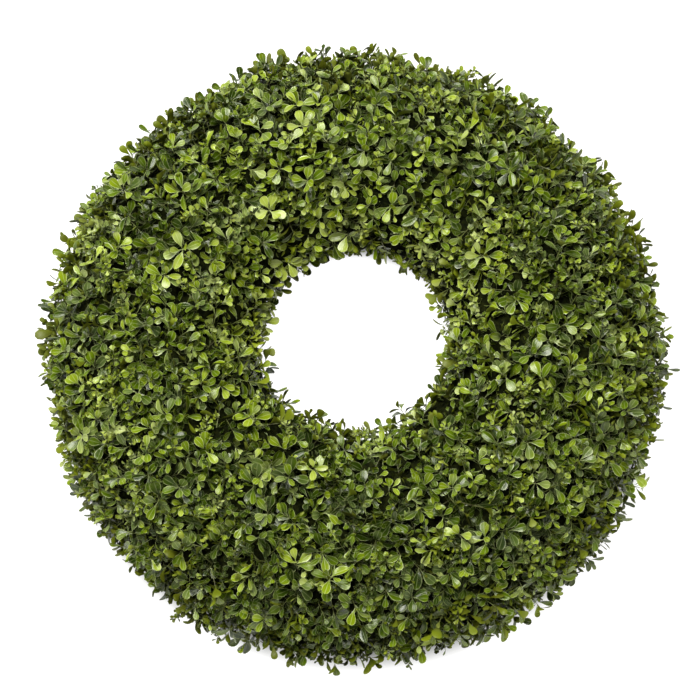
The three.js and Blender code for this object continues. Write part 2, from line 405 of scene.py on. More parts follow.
@dataclass(frozen=True)
class ThicketShadeFinish:
    """The tangle of twigs deep inside a bunch, near-black: partly dark twigs, partly painted shade."""

    # Near-black colours: painted shade deep in the foliage over the twigs' own dark colour.
    shadow: Colour = (0.002, 0.003, 0.0005)
    twig: Colour = (0.009, 0.011, 0.0015)
    tangle_waves: float = 240.0
    tangle_depth: float = 0.003
    roughness: float = 0.9
    shine: float = 0.05

    def material(self) -> Material:
        """Builds the thicket's material."""
        sheet = ShaderSheet(bpy.data.materials.new("thicket twigs and painted shade"))
        tangle = sheet.noise(sheet.object_place(), self.tangle_waves, 5.0)
        colour = sheet.colours(tangle, {0.40: self.shadow, 0.65: self.twig})
        return sheet.coat(colour, self.roughness, tangle, 1.0, self.tangle_depth, self.shine)


@dataclass(frozen=True)
class BarkFinish:
    """Dry grey-brown bark with long fibres along each cane."""

    dark: Colour = (0.050, 0.032, 0.019)
    mid: Colour = (0.180, 0.126, 0.078)
    light: Colour = (0.340, 0.270, 0.190)
    fibre_waves: Span = (50.0, 26.0)
    fibre_depth: float = 0.0012
    patch_waves: float = 30.0
    patch_share: float = 0.28
    roughness: float = 0.8

    def material(self) -> Material:
        """Builds the bark's material."""
        sheet = ShaderSheet(bpy.data.materials.new("vine bark"))
        uv = sheet.add("UVMap", uv_map="UVMap").outputs["UV"]
        stretched = sheet.add("Mapping", {"Vector": uv, "Scale": (*self.fibre_waves, 1.0)})
        fibres = sheet.noise(stretched.outputs[0], 1.0, 5.0)
        patches = sheet.noise(sheet.object_place(), self.patch_waves, 3.0)
        streak = sheet.maths("ADD", sheet.maths("MULTIPLY", fibres, 1.0 - self.patch_share),
                             sheet.maths("MULTIPLY", patches, self.patch_share))
        colour = sheet.colours(streak, {0.36: self.dark, 0.64: self.light, 0.48: self.mid})
        return sheet.coat(colour, self.roughness, fibres, 1.0, self.fibre_depth)


@dataclass(frozen=True)
class LeafShape:
    """One spoon-shaped leaf, lying along +X from its stalk with its upper side up.

    The stations say, from stalk to tip, how far along the leaf each ring of the outline lies and
    how wide the leaf is there, as shares of its length and width. The fold is how far the midrib
    lies under the rims, as a share of the width. The arch is how far the middle stands over the
    line from stalk to tip and the droop how far the tip hangs, as shares of the length.
    """

    length: float
    width: float
    stations: Outline
    fold: float = 0.18
    arch: float = 0.06
    droop: float = 0.05
    thickness: float = 0.00045
    smooth_to: float = 75.0

    def build(self, leaf: Material) -> Piece:
        """Models the leaf.

        Args:
            leaf: Its material.

        Returns:
            The master, at the origin, with its UV map and painted underside.
        """
        deselect_all()
        half = self.length / 2
        bpy.ops.mesh.primitive_uv_sphere_add(segments=4, ring_count=len(self.stations) + 1, radius=half,
                                             location=(half, 0, 0), rotation=(0, math.pi / 2, 0))
        blade = bpy.context.object
        bpy.ops.object.transform_apply(location=True, rotation=True, scale=True)
        rings: dict[int, set[int]] = {}
        for vertex in blade.data.vertices:
            rings.setdefault(round(vertex.co.x * 1e5), set()).add(vertex.index)
        bpy.ops.object.mode_set(mode="EDIT")
        bpy.ops.mesh.select_mode(type="VERT")
        for place, (along, across) in zip(sorted(rings)[1:-1], self.stations):
            self.shape_ring(blade, rings[place], along, across)
        tip = self.length * 0.999
        select_vertices(blade, lambda vertex: vertex.co.x > tip)
        bpy.ops.transform.translate(value=(0.0, 0.0, self.height(1.0)))
        bpy.ops.object.mode_set(mode="OBJECT")
        bpy.ops.object.shade_smooth_by_angle(angle=math.radians(self.smooth_to))
        blade.data.materials.append(leaf)
        self.paint(blade.data)
        return blade

    def height(self, along: float) -> float:
        """How high the leaf's middle line is at a share of its length."""
        return self.length * (4 * self.arch * along * (1 - along) - self.droop * along ** 2)

    def shape_ring(self, blade: Piece, ring: set[int], along: float, across: float) -> None:
        """Flattens one ring to the leaf's width there, and sinks its midrib.

        Args:
            blade: The blade, in edit mode.
            ring: The ring's vertex numbers.
            along: Where it goes, as a share of the leaf's length.
            across: How wide it is, as a share of the leaf's width.
        """
        select_vertices(blade, lambda vertex: vertex.index in ring)
        shape = bmesh.from_edit_mesh(blade.data)
        places = [vertex.co for vertex in shape.verts if vertex.index in ring]
        now = places[0].x
        radius = max(abs(place.y) for place in places)
        half_width = self.width * across / 2
        thick = self.thickness / 2
        near_rib = thick * 0.2
        bpy.ops.transform.resize(value=(1.0, half_width / radius, thick / radius),
                                 center_override=(now, 0.0, 0.0))
        bpy.ops.transform.translate(value=(along * self.length - now, 0.0, self.height(along)))
        select_vertices(blade, lambda vertex: vertex.index in ring and abs(vertex.co.y) < near_rib)
        bpy.ops.transform.translate(value=(0.0, 0.0, -self.fold * half_width * 2))

    def paint(self, mesh: Mesh) -> None:
        """Lays out the UV map, u along the leaf and v across it, and marks the underside."""
        mesh.update()
        half_widths: dict[float, float] = {}
        for vertex in mesh.vertices:
            at = round(vertex.co.x, 6)
            half_widths[at] = max(half_widths.get(at, 0.0), abs(vertex.co.y))
        layer = mesh.uv_layers["UVMap"]
        for face in mesh.polygons:
            for loop in face.loop_indices:
                place = mesh.vertices[mesh.loops[loop].vertex_index].co
                half = half_widths[round(place.x, 6)]
                side = place.y / half if half > 1e-7 else math.copysign(1.0, face.center.y)
                layer.data[loop].uv = (place.x / self.length, 0.5 + 0.5 * side)
        paint_faces(mesh, "underside", np.array([float(face.normal.z < 0) for face in mesh.polygons]))
        paint_faces(mesh, "tone", 0.5)


ROUND_OUTLINE = ((0.21, 0.11), (0.40, 0.40), (0.58, 0.80), (0.73, 1.0), (0.86, 0.95), (0.96, 0.62))
LONG_OUTLINE = ((0.18, 0.12), (0.37, 0.48), (0.55, 0.88), (0.70, 1.0), (0.84, 0.87), (0.95, 0.54))
SLENDER_OUTLINE = ((0.33, 0.28), (0.69, 0.99), (0.92, 0.72))
PLAIN_OUTLINE = ((0.24, 0.15), (0.52, 0.70), (0.76, 1.0), (0.94, 0.66))
TINY_OUTLINE = ((0.38, 0.52), (0.79, 1.0))


@dataclass(frozen=True)
class Variation:
    """How far single leaves stray from their habit. Every second one of a whorl is upright."""

    whorl_turn: float = 22.0
    whorl_size: Span = (0.74, 1.02)
    whorl_drop: Span = (0.0, 0.7)
    upright_lean: float = 14.0
    upright_loss: float = 0.12
    tip_youth: float = 0.14
    pair_turn: float = 14.0
    pair_size: Span = (0.9, 1.12)
    pair_drop: Span = (0.9, 1.1)
    pair_age: float = 0.10
    leaf_turn: float = 9.0
    leaf_roll: float = 20.0
    leaf_width: Span = (0.88, 1.1)
    leaf_curve: Span = (0.6, 1.5)
    leaf_tone: float = 0.06


VARY = Variation()


@dataclass(frozen=True, kw_only=True)
class SprigHabit:
    """How one kind of sprig grows and stands. Its tip node is at the origin, its stem down -Z.

    The leaves of its whorl and first pair have their own outlines, and those of the pairs below,
    which the upper ones mostly hide, have the lower outline. A side shoot's start, step and reach
    are counted in node gaps, and a twig's tip and bow are shares of its radius.
    """

    growth: Growth
    leaves: tuple[LeafShape, ...]
    lower_outline: Outline = TINY_OUTLINE
    masters: int
    stem_length: float
    stem_radius: float
    stem_steps: int = 2
    node_gap: float
    pairs: int
    tip_leaves: tuple[int, int]
    tip_angle: Span
    pair_angle: Span
    side_shoots: int = 0
    shoot_start: float = 1.6
    shoot_step: float = 1.2
    shoot_reach: float = 2.6
    shoot_lean: Span = (45, 60)
    shoot_radius: float = 0.8
    shoot_pairs: int = 2
    twig_tip: float = 0.6
    twig_taper: float = 1.17
    twig_bow: float = 0.8
    spacing: float
    clearance: float
    most: int
    inset: float
    youth: float
    side_rise: float = 0.0

    def grow_all(self, leaf: Material, stem: Material) -> list[Piece]:
        """Models the leaves once and grows every master sprig from them.

        Args:
            leaf: The leaves' material.
            stem: The stem's material.

        Returns:
            The master sprigs.
        """
        fine = [shape.build(leaf) for shape in self.leaves]
        plain = [replace(shape, stations=self.lower_outline).build(leaf) for shape in self.leaves]
        sprigs = [self.grow(number, fine, plain, stem) for number in range(self.masters)]
        for blade in fine + plain:
            bpy.data.objects.remove(blade)
        return sprigs

    def grow(self, number: int, fine: list[Piece], plain: list[Piece],
             stem: Material) -> Piece:
        """Grows one master sprig.

        Args:
            number: Which master, which also seeds its variation.
            fine: The leaf masters for the tips.
            plain: The leaf masters with fewer faces, for the older leaves below.
            stem: The stem's material.

        Returns:
            The sprig, one mesh at the origin.
        """
        rng = np.random.default_rng([SEED, number, len(self.growth.value)])
        sprig = self.twig(self.stem_length, self.stem_radius, self.stem_steps, stem)
        sprig.name = f"{self.growth.value}_sprig_{number}"
        blades = self.shoot(rng, fine, plain, Matrix.Identity(4), self.pairs)
        for side in range(self.side_shoots):
            turn = Matrix.Rotation(math.tau * side / self.side_shoots + rng.uniform(0, 2), 4, "Z")
            depth = self.node_gap * (self.shoot_start + self.shoot_step * side)
            root = Matrix.Translation((0, 0, -depth))
            lean = Matrix.Rotation(math.radians(rng.uniform(*self.shoot_lean)), 4, "Y")
            reach = self.node_gap * self.shoot_reach
            place = turn @ root @ lean @ Matrix.Translation((0, 0, reach))
            twig = self.twig(reach, self.stem_radius * self.shoot_radius, 1, stem)
            twig.matrix_world = place
            blades.append(twig)
            blades += self.shoot(rng, fine, plain, place, self.shoot_pairs)
        return join(sprig, blades)

    def shoot(self, rng: Random, fine: list[Piece],
              plain: list[Piece], place: Matrix, pairs: int) -> list[Piece]:
        """Sets the leaves of one shoot: a half-open whorl at its tip and crossed pairs below.

        Args:
            rng: The source of variation.
            fine: The leaf masters for the whorl and the first pair.
            plain: The leaf masters for the pairs below.
            place: The shoot's tip node.
            pairs: How many pairs stand below the whorl.

        Returns:
            The leaves, not yet joined.
        """
        blades = []
        whorl = int(rng.integers(self.tip_leaves[0], self.tip_leaves[1] + 1))
        start = rng.uniform(0, 360)
        for leaf in range(whorl):
            upright = leaf % 2
            azimuth = start + 360 * leaf / whorl + rng.normal(0, VARY.whorl_turn)
            lean = rng.uniform(*self.tip_angle) - VARY.upright_lean * upright
            size = rng.uniform(*VARY.whorl_size) - VARY.upright_loss * upright
            height = -self.node_gap * rng.uniform(*VARY.whorl_drop) * (1 - upright)
            blades.append(self.set_leaf(rng, fine, place, azimuth, height, lean, size, VARY.tip_youth))
        for pair in range(1, pairs + 1):
            height = -self.node_gap * pair * rng.uniform(*VARY.pair_drop)
            heading = start + 45 + 90 * pair + rng.normal(0, VARY.pair_turn)
            masters = fine if pair == 1 else plain
            for side in (0, 180):
                azimuth = heading + side + rng.normal(0, VARY.leaf_turn)
                lean = rng.uniform(*self.pair_angle)
                size = rng.uniform(*VARY.pair_size)
                blades.append(self.set_leaf(rng, masters, place, azimuth, height, lean, size,
                                            -VARY.pair_age * pair))
        return blades

    def set_leaf(self, rng: Random, leaves: list[Piece], place: Matrix, azimuth: float, height: float,
                 lean: float, size: float, tone: float) -> Piece:
        """Copies one leaf onto the stem.

        Args:
            rng: The source of variation.
            leaves: The leaf masters.
            place: The shoot's tip node.
            azimuth: The leaf's heading about the stem.
            height: How far above the tip node it grows.
            lean: Its angle from the stem.
            size: Its size beside the master's.
            tone: How much younger or older than the sprig it looks.

        Returns:
            The leaf.
        """
        master = leaves[int(rng.integers(len(leaves)))]
        roll = Matrix.Rotation(math.radians(rng.normal(0, VARY.leaf_roll)), 4, "X")
        tilt = Matrix.Rotation(-math.radians(90 - lean), 4, "Y")
        turn = Matrix.Rotation(math.radians(azimuth), 4, "Z")
        width = size * rng.uniform(*VARY.leaf_width)
        curve = size * rng.uniform(*VARY.leaf_curve)
        stretch = Matrix.Diagonal((size, width, curve, 1.0))
        leaf = copy_of(master, place @ turn @ Matrix.Translation((0, 0, height)) @ tilt @ roll @ stretch)
        paint_faces(leaf.data, "tone", tone + rng.normal(0, VARY.leaf_tone))
        return leaf

    def twig(self, length: float, radius: float, steps: int, stem: Material) -> Piece:
        """Models a tapered twig from the origin down -Z, slightly bowed.

        Args:
            length: How long it is.
            radius: How thick it is near its middle.
            steps: How many lengths it is extruded in.
            stem: Its material.

        Returns:
            The twig.
        """
        deselect_all()
        bpy.ops.mesh.primitive_circle_add(vertices=4, radius=radius * self.twig_tip, fill_type="NGON",
                                          location=(0, 0, 0))
        twig = bpy.context.object
        bpy.ops.object.mode_set(mode="EDIT")
        bpy.ops.mesh.select_all(action="SELECT")
        for step in range(1, steps + 1):
            bow = radius * self.twig_bow * math.sin(step)
            move = (bow, -bow, -length / steps)
            bpy.ops.mesh.extrude_region_move(TRANSFORM_OT_translate={"value": move})
            bpy.ops.transform.resize(value=(self.twig_taper, self.twig_taper, 1.0),
                                     center_override=(bow, -bow, -length * step / steps))
        bpy.ops.mesh.select_all(action="SELECT")
        bpy.ops.mesh.normals_make_consistent(inside=False)
        bpy.ops.object.mode_set(mode="OBJECT")
        bpy.ops.object.shade_smooth_by_angle(angle=math.radians(80))
        twig.data.materials.append(stem)
        paint_faces(twig.data, "underside", 0.0)
        paint_faces(twig.data, "tone", 0.0)
        return twig


MM = 0.001
HABITS = (
    SprigHabit(
        growth=Growth.TINY, masters=5,
        leaves=(LeafShape(7.6 * MM, 5.0 * MM, TINY_OUTLINE, fold=0.18),
                LeafShape(6.6 * MM, 4.2 * MM, TINY_OUTLINE, fold=0.24, arch=-0.05)),
        stem_length=0.022, stem_radius=0.0004, node_gap=0.0042, pairs=3, side_shoots=2,
        tip_leaves=(3, 4), tip_angle=(30, 58), pair_angle=(44, 74),
        spacing=0.0110, clearance=0.0095, most=420, inset=0.006, youth=0.60),
    SprigHabit(
        growth=Growth.BROAD, masters=8, lower_outline=PLAIN_OUTLINE,
        leaves=(LeafShape(18.2 * MM, 8.8 * MM, ROUND_OUTLINE, fold=0.16, arch=0.08, droop=0.12),
                LeafShape(17.6 * MM, 7.8 * MM, LONG_OUTLINE, fold=0.24, arch=0.12, droop=0.18),
                LeafShape(18.8 * MM, 8.2 * MM, ROUND_OUTLINE, fold=0.20, arch=-0.04, droop=-0.02),
                LeafShape(16.6 * MM, 8.6 * MM, ROUND_OUTLINE, fold=0.10, arch=0.08, droop=0.20)),
        stem_length=0.024, stem_radius=0.0005, node_gap=0.0072, pairs=2,
        tip_leaves=(2, 4), tip_angle=(34, 64), pair_angle=(46, 76),
        spacing=0.0190, clearance=0.0110, most=900, inset=0.006, youth=0.36),
    SprigHabit(
        growth=Growth.SLENDER, masters=6,
        leaves=(LeafShape(12.8 * MM, 6.6 * MM, SLENDER_OUTLINE, fold=0.18, arch=0.08, droop=0.14),
                LeafShape(11.6 * MM, 5.8 * MM, SLENDER_OUTLINE, fold=0.26, arch=-0.04),
                LeafShape(10.8 * MM, 6.0 * MM, SLENDER_OUTLINE, fold=0.14, arch=0.10, droop=0.20)),
        stem_length=0.023, stem_radius=0.00045, node_gap=0.0056, pairs=3,
        tip_leaves=(2, 4), tip_angle=(24, 58), pair_angle=(42, 74),
        spacing=0.0118, clearance=0.0096, most=1450, inset=0.009, youth=0.44),
    SprigHabit(
        growth=Growth.OLD, masters=5,
        leaves=(LeafShape(13.0 * MM, 8.2 * MM, TINY_OUTLINE, fold=0.16),
                LeafShape(11.4 * MM, 7.4 * MM, TINY_OUTLINE, fold=0.22, arch=0.08)),
        stem_length=0.022, stem_radius=0.0007, stem_steps=1, node_gap=0.0060, pairs=2,
        tip_leaves=(3, 4), tip_angle=(44, 78), pair_angle=(56, 86),
        # The very low youth of the deep old leaves is partly their older colour, partly painted shade in
        # the gaps.
        spacing=0.0125, clearance=0.0, most=1480, inset=0.020, youth=0.06, side_rise=0.008),
)


@dataclass(frozen=True)
class WreathForm:
    """The mean outline of the clipped foliage round the ring."""

    ring_radius: float = 0.187
    ring_centre: Span = (0.0, 0.0)
    outer_radius: float = 0.294
    hole_radius: float = 0.080
    hole_rise: float = 0.007
    depth: float = 0.143
    widest_height: float = 0.050
    outer_edge: float = 52.0
    inner_edge: float = 128.0

    @classmethod
    def from_frame(cls) -> "WreathForm":
        """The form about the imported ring's own centre."""
        low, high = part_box("vine_ring")
        return cls(ring_centre=((low.x + high.x) / 2, (low.y + high.y) / 2))

    def point(self, around: np.ndarray, section: np.ndarray,
              inset: np.ndarray | float = 0.0) -> np.ndarray:
        """Points of the outline, drawn in by an inset.

        Args:
            around: Angles about the wreath.
            section: Angles about the ring's section.
            inset: How far under the outline.

        Returns:
            One row of x, y, z for each pair of angles.
        """
        u = np.radians(around)
        v = np.radians(section)
        hole = self.ring_radius - self.hole_radius - self.hole_rise * np.sin(u)
        side = np.where(np.cos(v) < 0, hole, self.outer_radius - self.ring_radius)
        height = np.where(np.sin(v) > 0, self.depth - self.widest_height, self.widest_height)
        radius = self.ring_radius + (side - inset) * np.cos(v)
        rise = self.widest_height + (height - inset) * np.sin(v)
        x = self.ring_centre[0] + radius * np.cos(u)
        y = self.ring_centre[1] + radius * np.sin(u)
        return np.stack([x, y, rise], axis=-1)

    def patch(self, around: np.ndarray, section: np.ndarray) -> np.ndarray:
        """Measures the outline at points of it.

        Args:
            around: Angles about the wreath.
            section: Angles about the ring's section.

        Returns:
            The outward vectors, each as long as the area it stands for.
        """
        step = 0.5
        along = self.point(around + step, section) - self.point(around - step, section)
        across = self.point(around, section + step) - self.point(around, section - step)
        return np.cross(along, across)

    def bunch(self, around: float, section: float) -> tuple[Belt, int]:
        """Finds the bunch that holds a point of the outline.

        Args:
            around: The point's angle about the wreath.
            section: Its angle about the ring's section.

        Returns:
            The bunch's belt and number.
        """
        if section < self.outer_edge:
            belt = Belt.OUTER
        elif section < self.inner_edge:
            belt = Belt.FRONT
        else:
            belt = Belt.INNER
        return belt, int(around % 360 / (360 / belt.count)) + 1


@dataclass(frozen=True)
class Place:
    """Where one sprig is planted."""

    habit: SprigHabit
    around: float
    section: float
    tip: Vector
    axis: Vector


class Ground:
    """Remembers the spots that are taken, in a grid of cells, so that near ones are quickly found."""

    def __init__(self, cell: float) -> None:
        """Starts with no spot taken, in cells of that size."""
        self.cell = cell
        self.spots: dict[tuple[int, ...], list[tuple[np.ndarray, Growth]]] = {}

    def take(self, spot: np.ndarray, habit: SprigHabit) -> bool:
        """Takes a spot for one sprig, if its spacing and its clearance to other kinds allow it.

        Args:
            spot: Where it would stand.
            habit: Its habit.

        Returns:
            Whether the spot was free.
        """
        cells = tuple(int(value // self.cell) for value in spot)
        for near in itertools.product(*((cell - 1, cell, cell + 1) for cell in cells)):
            for other, growth in self.spots.get(near, ()):
                gap = habit.spacing if growth is habit.growth else habit.clearance
                if np.sum((spot - other) ** 2) < gap ** 2:
                    return False
        self.spots.setdefault(cells, []).append((spot, habit.growth))
        return True


@dataclass(frozen=True)
class Planting:
    """Spreads the sprigs over the outline, each kind a stated distance from its neighbours."""

    form: WreathForm
    rng: Random
    candidates: int = 60000
    sections: Span = (-72.0, 250.0)
    hidden_below: Span = (-40.0, 216.0)
    hidden_share: float = 0.5
    tiny_patches: float = 26.0
    tiny_threshold: float = 0.12
    relief_waves: float = 17.0
    relief: float = 0.006
    clump_waves: float = 34.0
    clump: float = 0.004
    inset_spread: float = 0.0035
    hole_trim: float = 0.0045
    hole_trim_rise: float = 0.0015
    stand_out: float = 0.06
    stand_out_by: Span = (0.003, 0.008)
    jitter: float = 0.55
    least_outward: float = 0.50
    most_down: float = 0.75
    most_down_from: float = 0.05

    def plan(self) -> list[Place]:
        """Chooses a place for every sprig."""
        around, section, patches = self.scatter()
        points = self.form.point(around, section)
        taken: list[Place] = []
        ground = Ground(max(habit.spacing for habit in HABITS))
        for habit in HABITS:
            count = 0
            for index in self.rng.permutation(len(around)):
                if count == habit.most:
                    break
                spot = points[index]
                if habit.growth is Growth.TINY and not self.in_tiny_patch(spot):
                    continue
                if ground.take(spot, habit):
                    taken.append(self.place(habit, around[index], section[index], patches[index]))
                    count += 1
            log.info("planned %d %s sprigs", count, habit.growth.value)
        return taken

    def in_tiny_patch(self, spot: np.ndarray) -> bool:
        """Whether the spot lies in one of the patches where the smallest leaves grow."""
        return noise.noise(Vector(spot) * self.tiny_patches) > self.tiny_threshold

    def scatter(self) -> tuple[np.ndarray, np.ndarray, np.ndarray]:
        """Draws points of the outline, as many to each patch as its area asks.

        Returns:
            The angles around, the angles of the section, and the outward vectors.
        """
        around = self.rng.uniform(0, 360, self.candidates)
        section = self.rng.uniform(*self.sections, self.candidates)
        patches = self.form.patch(around, section)
        areas = np.linalg.norm(patches, axis=1)
        hidden = (section < self.hidden_below[0]) | (section > self.hidden_below[1])
        chance = areas * np.where(hidden, self.hidden_share, 1.0)
        keep = self.rng.uniform(0, areas.max(), self.candidates) < chance
        return around[keep], section[keep], patches[keep]

    def place(self, habit: SprigHabit, around: float, section: float, patch: np.ndarray) -> Place:
        """Settles how deep one sprig sits and how it leans.

        Args:
            habit: The sprig's habit.
            around: Its angle about the wreath.
            section: Its angle about the ring's section.
            patch: The outline's outward vector there.

        Returns:
            The sprig's place.
        """
        spot = Vector(self.form.point(around, section))
        inset = habit.inset + self.rng.normal(0, self.inset_spread)
        inset -= habit.side_rise * math.cos(math.radians(section)) ** 2
        inset += self.relief * noise.noise(spot * self.relief_waves)
        inset += self.clump * noise.noise(spot * self.clump_waves)
        inset = max(0.0, inset)
        if self.rng.uniform() < self.stand_out:
            inset -= self.rng.uniform(*self.stand_out_by)
        into_hole = max(0.0, -math.cos(math.radians(section)))
        inset += into_hole * (self.hole_trim + self.hole_trim_rise * math.sin(math.radians(around)))
        outward = Vector(patch / np.linalg.norm(patch))
        axis = outward + Vector(self.rng.normal(0, self.jitter, 3))
        axis += outward * max(0.0, self.least_outward - axis.dot(outward))
        tip = Vector(self.form.point(around, section, inset))
        axis.z = max(axis.z, -self.most_down * min(1.0, tip.z / self.most_down_from))
        return Place(habit, around, section, tip, axis.normalized())


@dataclass
class Bunch:
    """One bunch of foliage: its planted sprigs over the thicket they grow from, near-black with painted
    shade.
    """

    belt: Belt
    number: int
    form: WreathForm
    places: list[Place]
    rng: Random
    thicket_depth: float = 0.025
    thicket_side_rise: float = 0.010
    thicket_thickness: float = 0.006
    cells: int = 7
    lump_waves: float = 60.0
    lump_height: float = 0.005
    back_edges: Span = (-45.0, 225.0)
    floor_gap: float = 0.0012
    soft_height: float = 0.010
    sizes: Span = (0.82, 1.12)
    drift_waves: float = 22.0
    drift: float = 0.25
    tone_spread: float = 0.18
    tones: Span = (0.02, 0.98)
    # Painted shade and light on the tone: darker on the outer flank and lower half, lighter on the hole
    # walls towards the top.
    outer_shade_inner_light: float = 0.12
    lower_half_shade: float = 0.08
    hole_wall_light_and_shade: float = 0.14

    @property
    def node(self) -> str:
        """The CAD node that the bunch stands for."""
        return self.belt.node(self.number)

    def sections(self) -> Span:
        """The bunch's span about the ring's section."""
        low, high = self.back_edges
        edges = (low, self.form.outer_edge, self.form.inner_edge, high)
        first = list(Belt).index(self.belt)
        return edges[first], edges[first + 1]

    def thicket(self, twigs: Material) -> Piece:
        """Models the tangle under the leaves: a lumpy patch that follows the outline, whose near-black
        material is painted shade.

        Args:
            twigs: Its material.

        Returns:
            The thicket, with its place in its mesh.
        """
        deselect_all()
        bpy.ops.mesh.primitive_grid_add(x_subdivisions=self.cells * 2, y_subdivisions=self.cells,
                                        size=1.0, location=(0.5, 0.5, 0.0))
        piece = bpy.context.object
        bpy.ops.object.transform_apply(location=True, rotation=True, scale=True)
        mesh = piece.data
        flat = vertex_places(mesh)
        low, high = self.sections()
        around = (self.number - 1 + flat[:, 0]) * (360 / self.belt.count)
        section = low + (high - low) * flat[:, 1]
        depth = self.thicket_depth - self.thicket_side_rise * np.cos(np.radians(section)) ** 2
        spots = self.form.point(around, section, depth)
        lumps = np.array([noise.noise(Vector(spot) * self.lump_waves) for spot in spots])
        move_vertices(mesh, self.form.point(around, section, depth - self.lump_height * lumps))
        wall = piece.modifiers.new("wall", "SOLIDIFY")
        wall.thickness = self.thicket_thickness
        wall.offset = -1.0
        bpy.ops.object.modifier_apply(modifier=wall.name)
        # The thicket's near-black material paints the shade deep inside the bunch.
        mesh.materials.append(twigs)
        paint_faces(mesh, "underside", 0.0)
        paint_faces(mesh, "tone", 0.0)
        return piece

    def build(self, masters: dict[Growth, list[Piece]], twigs: Material) -> Piece:
        """Plants the bunch.

        Args:
            masters: The master sprigs of each kind.
            twigs: The thicket's material.

        Returns:
            The bunch, one mesh with its place in it.
        """
        piece = self.thicket(twigs)
        join(piece, [self.plant(place, masters[place.habit.growth]) for place in self.places])
        piece.name = self.node + "_foliage"
        self.press_up(piece.data)
        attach(piece, "root")
        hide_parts(self.node)
        slot_of(self.node)
        return piece

    def plant(self, place: Place, masters: list[Piece]) -> Piece:
        """Copies one sprig to its place with a tone of its own, plus painted shade and light: darker on
        the outer flank and the lower half, lighter on the hole walls towards the top.

        Args:
            place: Where it stands.
            masters: The master sprigs of its kind.

        Returns:
            The sprig.
        """
        master = masters[int(self.rng.integers(len(masters)))]
        aim = place.axis.to_track_quat("Z", "Y").to_matrix().to_4x4()
        spin = Matrix.Rotation(self.rng.uniform(0, math.tau), 4, "Z")
        size = self.rng.uniform(*self.sizes)
        sprig = copy_of(master, Matrix.Translation(place.tip) @ aim @ spin @ Matrix.Scale(size, 4))
        drift = self.drift * noise.noise(place.tip * self.drift_waves)
        tone = place.habit.youth + drift + self.rng.normal(0, self.tone_spread)
        # Painted shade and light: darker on the outer flank and the lower half, lighter on the hole
        # walls towards the top.
        outward = math.cos(math.radians(place.section))
        upward = math.sin(math.radians(place.around))
        tone -= self.outer_shade_inner_light * outward + self.lower_half_shade * max(0.0, -upward)
        tone += self.hole_wall_light_and_shade * max(0.0, -outward) * upward
        values = face_values(sprig.data, "tone") + tone
        paint_faces(sprig.data, "tone", np.clip(values, *self.tones))
        return sprig

    def press_up(self, mesh: Mesh) -> None:
        """Presses what would pass through the surface flat against it, as its weight does.

        Args:
            mesh: The bunch's mesh.
        """
        places = vertex_places(mesh)
        height = places[:, 2]
        lowest = height.min()
        if lowest < self.floor_gap:
            low = height < self.soft_height
            share = (self.soft_height - height[low]) / (self.soft_height - lowest)
            height[low] = self.soft_height - share * (self.soft_height - self.floor_gap)
            move_vertices(mesh, places)


def slot_of(node: str) -> str:
    """The record's material slot of a CAD node."""
    return next(part["material_slot"] for part in frame["record"]["subparts"] if part["node"] == node)


@dataclass
class VineRing:
    """The ring that carries the bunches: twisted canes that wander a little, flat at the back."""

    form: WreathForm
    canes: int = 15
    cane_radius: float = 0.0046
    radius_spread: Span = (0.8, 1.15)
    half_width: float = 0.0265
    height: float = 0.034
    lowest_radii: float = 1.2
    back_crown: float = 0.12
    turns: int = 2
    points: int = 72
    turn_wander: float = 0.25
    width_wander: float = 0.002
    height_wander: float = 0.0012

    def build(self, bark: Material) -> Piece:
        """Winds the canes and joins them.

        Args:
            bark: Their material.

        Returns:
            The ring, one piece.
        """
        made = [self.cane(number) for number in range(self.canes)]
        base = join(made[0], made[1:])
        base.name = "vine_ring_canes"
        base.data.name = "vine_ring_canes"
        base.data.materials.clear()
        base.data.materials.append(bark)
        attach(base, "root")
        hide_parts("vine_ring")
        return base

    def cane(self, number: int) -> Piece:
        """Winds one cane round the ring's section as it goes about the ring.

        Args:
            number: Which cane, which also seeds its wandering.

        Returns:
            The cane, a closed tube.
        """
        rng = np.random.default_rng([SEED, 50, number])
        curve = bpy.data.curves.new(f"cane_{number}", "CURVE")
        curve.dimensions = "3D"
        curve.bevel_depth = self.cane_radius * rng.uniform(*self.radius_spread)
        curve.bevel_resolution = 1
        curve.resolution_u = 1
        line = curve.splines.new("NURBS")
        line.points.add(self.points - 1)
        line.use_cyclic_u = True
        phase = math.tau * number / self.canes
        wander = rng.uniform(0, math.tau, 3)
        for step, point in enumerate(line.points):
            u = math.tau * step / self.points
            turn = phase + self.turns * u + self.turn_wander * math.sin(3 * u + wander[0])
            out = self.half_width * math.cos(turn) + self.width_wander * math.sin(5 * u + wander[1])
            share = max(0.0, self.back_crown + (1 - self.back_crown) * math.sin(turn))
            crown = (self.height - (1 + self.lowest_radii) * self.cane_radius) * share
            lift = self.cane_radius * self.lowest_radii + crown
            lift += self.height_wander * (1 + math.sin(7 * u + wander[2]))
            radius = self.form.ring_radius + out
            point.co = (self.form.ring_centre[0] + radius * math.cos(u),
                        self.form.ring_centre[1] + radius * math.sin(u), lift, 1.0)
        piece = bpy.data.objects.new(curve.name, curve)
        bpy.context.scene.collection.objects.link(piece)
        activate(piece)
        bpy.ops.object.convert(target="MESH")
        piece = bpy.context.object
        bpy.ops.object.shade_smooth()
        return piece


@dataclass(frozen=True)
class SoftBox:
    """One square area light, with its power in watts."""

    name: str
    place: tuple[float, float, float]
    size: float
    power: float
    tint: Colour

    def build(self) -> None:
        """Sets up the light, aimed at the wreath."""
        deselect_all()
        bpy.ops.object.light_add(type="AREA", location=self.place)
        light = bpy.context.object
        light.name = self.name
        light.data.shape = "SQUARE"
        light.data.size = self.size
        light.data.energy = self.power
        light.data.color = self.tint
        aim = TARGET - Vector(self.place)
        light.rotation_euler = aim.to_track_quat("-Z", "Y").to_euler()


